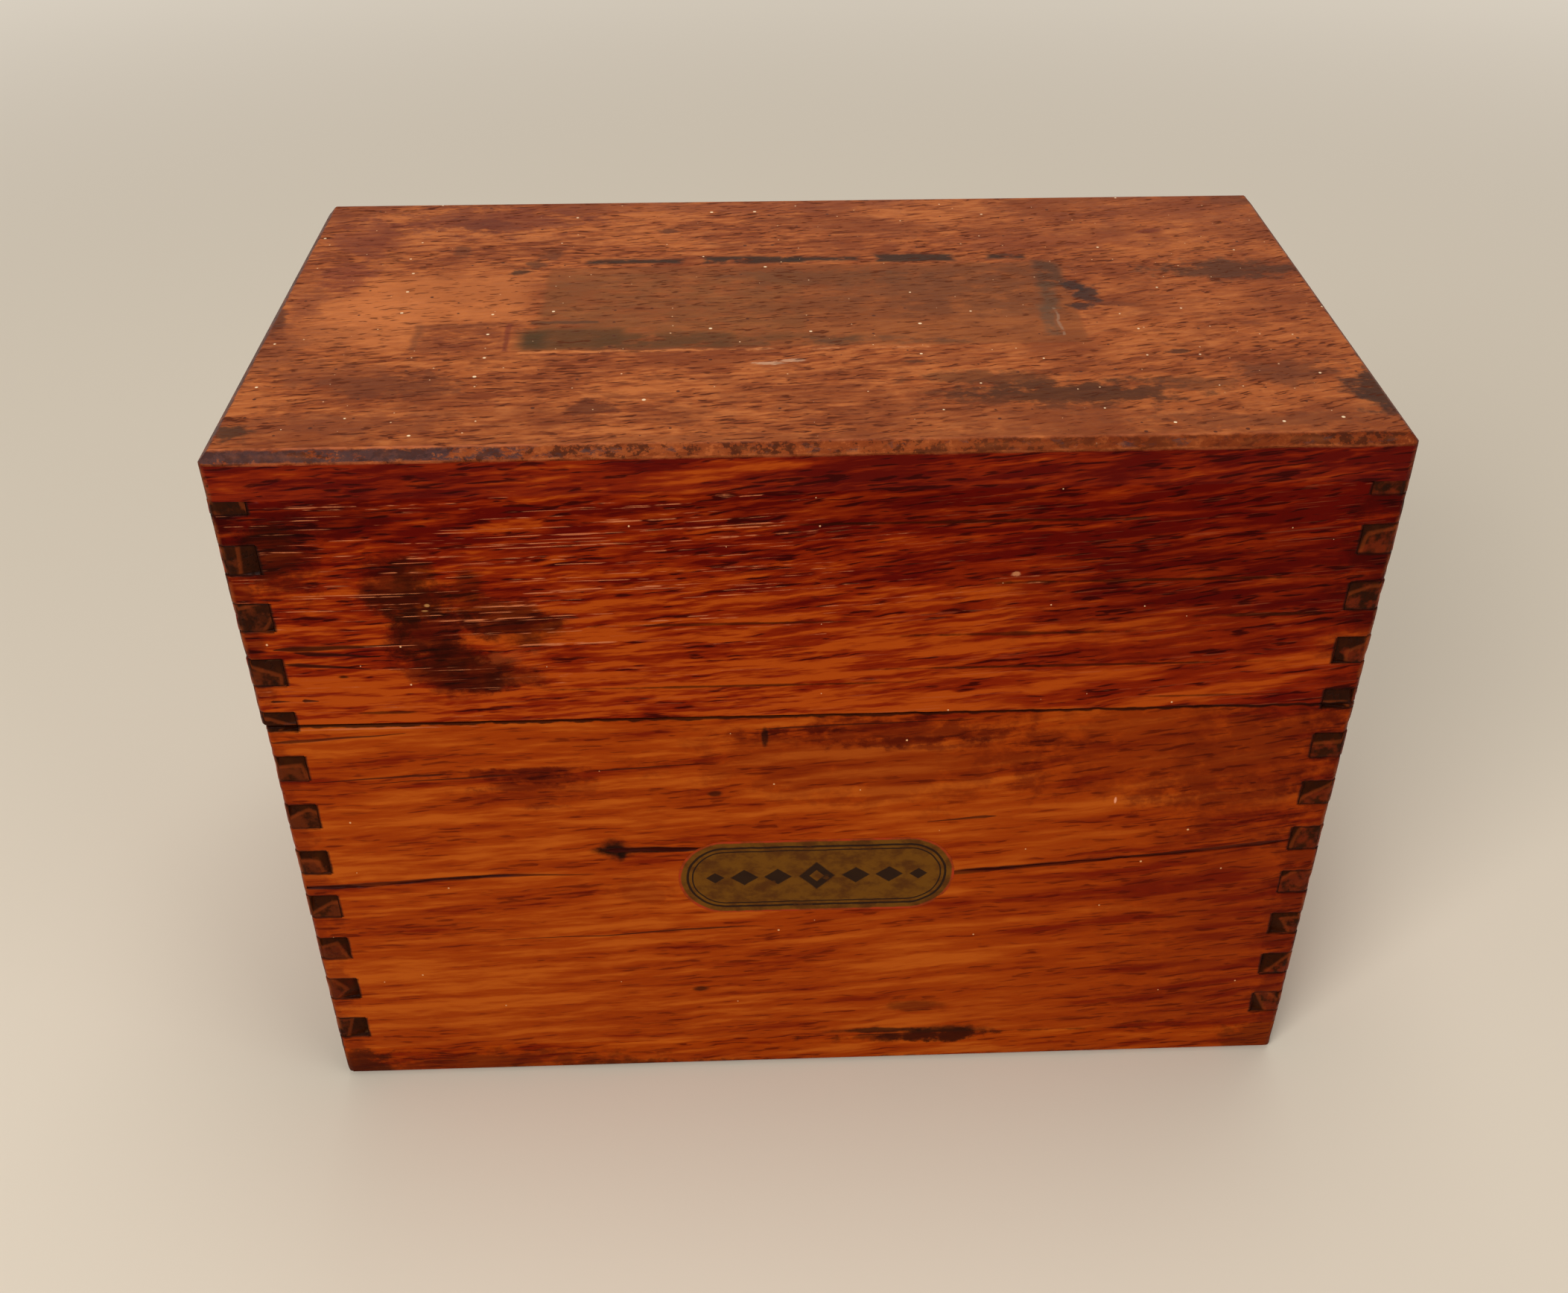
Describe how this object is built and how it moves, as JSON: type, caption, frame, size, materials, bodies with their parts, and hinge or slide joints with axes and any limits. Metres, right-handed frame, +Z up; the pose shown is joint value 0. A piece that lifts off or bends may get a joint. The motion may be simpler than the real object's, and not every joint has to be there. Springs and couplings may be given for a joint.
{
  "type": "recipe card box",
  "caption": "Finger-jointed wooden box for recipe cards, with a hinged lid that closes over a raised inner lip.",
  "frame": {"origin": "middle of the underside of the box, on the surface that it stands on", "axes": "+X from left to right along the front, +Y from front to back where the hinges are, +Z up"},
  "size_m": [0.146, 0.0862, 0.109],
  "materials": {
    "top_board_wood": "old varnish on red-brown open-grained hardwood, dulled and stained by use",
    "lid_wood": "old semi-gloss varnish on red-brown open-grained hardwood",
    "base_wood": "old semi-gloss varnish on orange-brown open-grained hardwood",
    "liner_wood": "bare planed hardwood, darkened by age",
    "hinge_brass": "tarnished rolled brass",
    "hinge_screw_brass": "turned brass, dulled",
    "hinge_pin_steel": "drawn steel wire, dulled"
  },
  "bodies": {
    "base": {"base_bottom_board": "base_wood", "base_front_wall": "base_wood", "base_back_wall": "base_wood", "base_left_wall": "base_wood", "base_right_wall": "base_wood", "front_liner": "liner_wood", "left_liner": "liner_wood", "right_liner": "liner_wood", "left_hinge_base_leaf": "hinge_brass", "right_hinge_base_leaf": "hinge_brass", "left_hinge_pin": "hinge_pin_steel", "right_hinge_pin": "hinge_pin_steel", "left_hinge_base_screws": "hinge_screw_brass", "right_hinge_base_screws": "hinge_screw_brass"},
    "lid": {"lid_top_board": "top_board_wood", "lid_front_wall": "lid_wood", "lid_back_wall": "lid_wood", "lid_left_wall": "lid_wood", "lid_right_wall": "lid_wood", "left_hinge_lid_leaf": "hinge_brass", "right_hinge_lid_leaf": "hinge_brass", "left_hinge_lid_screws": "hinge_screw_brass", "right_hinge_lid_screws": "hinge_screw_brass"}
  },
  "joints": [
    {"name": "lid_hinge", "type": "hinge", "parent": "base", "child": "lid", "pos_m": [0, 0.04325, 0.0688], "axis": [-1, 0, 0], "range_deg": [0, 180]}
  ]
}
